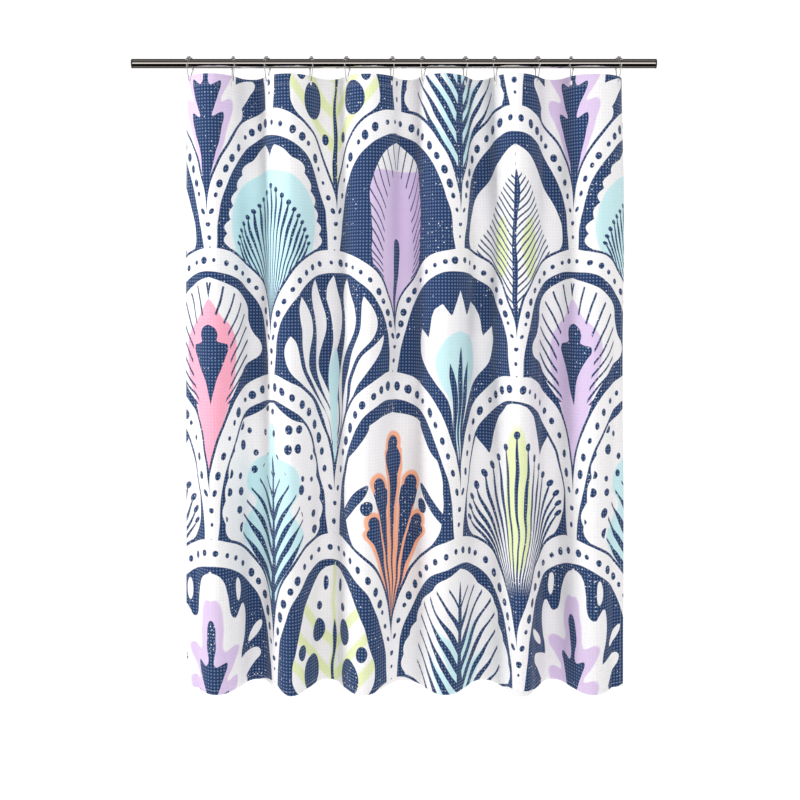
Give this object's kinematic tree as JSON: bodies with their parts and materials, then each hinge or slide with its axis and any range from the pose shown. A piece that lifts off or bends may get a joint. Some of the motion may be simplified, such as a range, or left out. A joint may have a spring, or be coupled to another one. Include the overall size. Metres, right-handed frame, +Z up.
{
  "type": "shower curtain",
  "caption": "Printed fabric shower curtain gathered on roller rings that slide along a straight metal rod.",
  "frame": {"origin": "the rod's axis at the middle of its length", "axes": "+X to the right along the rod as seen from the room, -Y towards the room, +Z up"},
  "size_m": [1.5682, 0.1058, 1.8883],
  "materials": {
    "rod_metal": "polished nickel, faint lengthwise grain",
    "cap_plastic": "satin dark grey",
    "ring_wire_chrome": "polished",
    "roller_chrome": "polished",
    "printed_cloth": "waffle weave, printed on the front",
    "hem_cloth": "waffle weave, unprinted back side",
    "buttonhole_thread": "satin-stitched white thread"
  },
  "bodies": {
    "rod": {"rod_tube": "rod_metal", "rod_end_cap_left": "cap_plastic", "rod_end_cap_right": "cap_plastic"},
    "curtain": {"curtain_panel": "printed_cloth", "header_band": "hem_cloth", "bottom_hem": "hem_cloth", "side_hem_left": "hem_cloth", "side_hem_right": "hem_cloth"},
    "ring_01": {"ring_wire_01": "ring_wire_chrome", "ring_rollers_01": "roller_chrome", "buttonhole_01": "buttonhole_thread"},
    "ring_02": {"ring_wire_02": "ring_wire_chrome", "ring_rollers_02": "roller_chrome", "buttonhole_02": "buttonhole_thread"},
    "ring_03": {"ring_wire_03": "ring_wire_chrome", "ring_rollers_03": "roller_chrome", "buttonhole_03": "buttonhole_thread"},
    "ring_04": {"ring_wire_04": "ring_wire_chrome", "ring_rollers_04": "roller_chrome", "buttonhole_04": "buttonhole_thread"},
    "ring_05": {"ring_wire_05": "ring_wire_chrome", "ring_rollers_05": "roller_chrome", "buttonhole_05": "buttonhole_thread"},
    "ring_06": {"ring_wire_06": "ring_wire_chrome", "ring_rollers_06": "roller_chrome", "buttonhole_06": "buttonhole_thread"},
    "ring_07": {"ring_wire_07": "ring_wire_chrome", "ring_rollers_07": "roller_chrome", "buttonhole_07": "buttonhole_thread"},
    "ring_08": {"ring_wire_08": "ring_wire_chrome", "ring_rollers_08": "roller_chrome", "buttonhole_08": "buttonhole_thread"},
    "ring_09": {"ring_wire_09": "ring_wire_chrome", "ring_rollers_09": "roller_chrome", "buttonhole_09": "buttonhole_thread"},
    "ring_10": {"ring_wire_10": "ring_wire_chrome", "ring_rollers_10": "roller_chrome", "buttonhole_10": "buttonhole_thread"},
    "ring_11": {"ring_wire_11": "ring_wire_chrome", "ring_rollers_11": "roller_chrome", "buttonhole_11": "buttonhole_thread"},
    "ring_12": {"ring_wire_12": "ring_wire_chrome", "ring_rollers_12": "roller_chrome", "buttonhole_12": "buttonhole_thread"}
  },
  "joints": [
    {"name": "swing", "type": "hinge", "parent": "rod", "child": "curtain", "pos_m": [0, 0, 0], "axis": [1, 0, 0], "range_deg": [-15, 15]},
    {"name": "draw", "type": "slide", "parent": "curtain", "child": "ring_12", "axis": [1, 0, 0], "range_m": [-1.0113, 0], "deforming": ["curtain_panel", "header_band", "bottom_hem", "side_hem_left", "side_hem_right"]},
    {"name": "ring_01_slide", "type": "slide", "parent": "curtain", "child": "ring_01", "axis": [1, 0, 0], "range_m": [-0.08931, 0]},
    {"name": "ring_02_slide", "type": "slide", "parent": "curtain", "child": "ring_02", "axis": [1, 0, 0], "range_m": [-0.18225, 0]},
    {"name": "ring_03_slide", "type": "slide", "parent": "curtain", "child": "ring_03", "axis": [1, 0, 0], "range_m": [-0.25568, 0]},
    {"name": "ring_04_slide", "type": "slide", "parent": "curtain", "child": "ring_04", "axis": [1, 0, 0], "range_m": [-0.35034, 0]},
    {"name": "ring_05_slide", "type": "slide", "parent": "curtain", "child": "ring_05", "axis": [1, 0, 0], "range_m": [-0.42778, 0]},
    {"name": "ring_06_slide", "type": "slide", "parent": "curtain", "child": "ring_06", "axis": [1, 0, 0], "range_m": [-0.52474, 0]},
    {"name": "ring_07_slide", "type": "slide", "parent": "curtain", "child": "ring_07", "axis": [1, 0, 0], "range_m": [-0.59129, 0]},
    {"name": "ring_08_slide", "type": "slide", "parent": "curtain", "child": "ring_08", "axis": [1, 0, 0], "range_m": [-0.68193, 0]},
    {"name": "ring_09_slide", "type": "slide", "parent": "curtain", "child": "ring_09", "axis": [1, 0, 0], "range_m": [-0.74676, 0]},
    {"name": "ring_10_slide", "type": "slide", "parent": "curtain", "child": "ring_10", "axis": [1, 0, 0], "range_m": [-0.8374, 0]},
    {"name": "ring_11_slide", "type": "slide", "parent": "curtain", "child": "ring_11", "axis": [1, 0, 0], "range_m": [-0.91083, 0]}
  ],
  "couplings": [
    {"joint": "ring_01_slide", "follows": "draw", "ratio": 0.08782},
    {"joint": "ring_02_slide", "follows": "draw", "ratio": 0.17972},
    {"joint": "ring_03_slide", "follows": "draw", "ratio": 0.25233},
    {"joint": "ring_04_slide", "follows": "draw", "ratio": 0.34593},
    {"joint": "ring_05_slide", "follows": "draw", "ratio": 0.42251},
    {"joint": "ring_06_slide", "follows": "draw", "ratio": 0.51838},
    {"joint": "ring_07_slide", "follows": "draw", "ratio": 0.58419},
    {"joint": "ring_08_slide", "follows": "draw", "ratio": 0.67382},
    {"joint": "ring_09_slide", "follows": "draw", "ratio": 0.73792},
    {"joint": "ring_10_slide", "follows": "draw", "ratio": 0.82755},
    {"joint": "ring_11_slide", "follows": "draw", "ratio": 0.90016}
  ]
}
